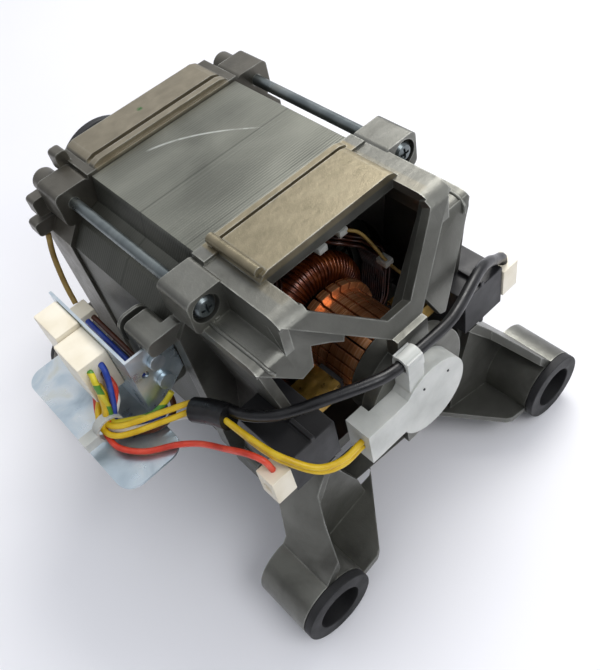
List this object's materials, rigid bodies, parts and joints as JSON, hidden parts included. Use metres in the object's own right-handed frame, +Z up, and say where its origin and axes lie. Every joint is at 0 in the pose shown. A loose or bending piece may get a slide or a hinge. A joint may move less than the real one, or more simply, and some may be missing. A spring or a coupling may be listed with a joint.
{
  "type": "washing machine motor",
  "caption": "Universal commutator motor with laminated stator, two die-cast end shields on rubber-bushed feet, brush gear, tacho, grooved pulley and wired connector bracket.",
  "frame": {"origin": "centre of the drive shaft's pulley-end face", "axes": "+Y along the shaft out of the pulley end, +Z up from the feet, +X right seen from the brush end"},
  "size_m": [0.2028, 0.256, 0.1578],
  "materials": {
    "lamination": "dull grey rolled lamination edges",
    "field_winding": "varnished brown enamelled copper",
    "armature_winding": "varnished enamelled copper",
    "tacho_winding": "enamelled copper",
    "front_casting": "die cast, satin",
    "rear_casting": "die cast, satin",
    "zinc_steel": "bright zinc plated",
    "rubber": "matt black",
    "bearing_steel": "ground",
    "shaft_steel": "ground",
    "copper": "turned bright copper",
    "phenolic": "black moulding",
    "pulley_black": "black",
    "ferrite": "sintered",
    "nylon_white": "translucent natural nylon",
    "brass": "pressed sheet",
    "spring_steel": "drawn wire",
    "carbon": "electrographite",
    "cream_plastic": "cream moulding",
    "wire_yellow": "insulated",
    "wire_white": "insulated",
    "wire_red": "insulated",
    "wire_blue": "insulated",
    "wire_earth": "insulated, yellow with green stripe",
    "wire_brown": "insulated",
    "wire_lead": "varnished glass sleeving",
    "black_sleeve": "black sleeving"
  },
  "bodies": {
    "frame": {"stator_core": "lamination", "field_coil_left": "field_winding", "field_coil_right": "field_winding", "front_shield": "front_casting", "rear_shield": "rear_casting", "tie_bolts": "zinc_steel", "foot_bush_front_left": "rubber", "foot_bush_front_right": "rubber", "foot_bush_rear_left": "rubber", "foot_bush_rear_right": "rubber", "front_bearing_outer": "bearing_steel", "rear_bearing_outer": "bearing_steel", "tacho_coil": "tacho_winding", "tacho_cover": "nylon_white", "brush_holder_left": "phenolic", "brush_holder_right": "phenolic", "brush_guide_left": "brass", "brush_guide_right": "brass", "brush_spring_left": "spring_steel", "brush_spring_right": "spring_steel", "terminal_left": "cream_plastic", "terminal_right": "cream_plastic", "connector_bracket": "zinc_steel", "connector_front": "cream_plastic", "connector_rear": "cream_plastic", "bracket_screws": "zinc_steel", "cable_tie": "nylon_white", "cable_sleeve": "black_sleeve", "lead_terminal": "cream_plastic", "wire_yellow_a": "wire_yellow", "wire_yellow_b": "wire_yellow", "wire_white": "wire_white", "wire_red": "wire_red", "wire_blue": "wire_blue", "wire_earth": "wire_earth", "wire_brown": "wire_brown", "wire_lead": "wire_lead", "cable_black": "black_sleeve"},
    "rotor": {"front_bearing_inner": "bearing_steel", "rear_bearing_inner": "bearing_steel", "rotor_shaft": "shaft_steel", "rotor_core": "lamination", "rotor_winding_front": "armature_winding", "rotor_winding_rear": "armature_winding", "commutator_bars": "copper", "commutator_hub": "phenolic", "pulley": "pulley_black", "tacho_magnet": "ferrite"},
    "brush_left": {"brush_left": "carbon"},
    "brush_right": {"brush_right": "carbon"}
  },
  "joints": [
    {"name": "rotor_spin", "type": "hinge", "parent": "frame", "child": "rotor", "pos_m": [0, -0.134, 0], "axis": [0, 1, 0], "continuous": true},
    {"name": "brush_left_slide", "type": "slide", "parent": "frame", "child": "brush_left", "axis": [-1, 0, 0], "range_m": [0, 0.006], "stiffness_N_per_m": 150, "springref_m": -0.02, "deforming": ["brush_spring_left"]},
    {"name": "brush_right_slide", "type": "slide", "parent": "frame", "child": "brush_right", "axis": [1, 0, 0], "range_m": [0, 0.006], "stiffness_N_per_m": 150, "springref_m": -0.02, "deforming": ["brush_spring_right"]}
  ]
}
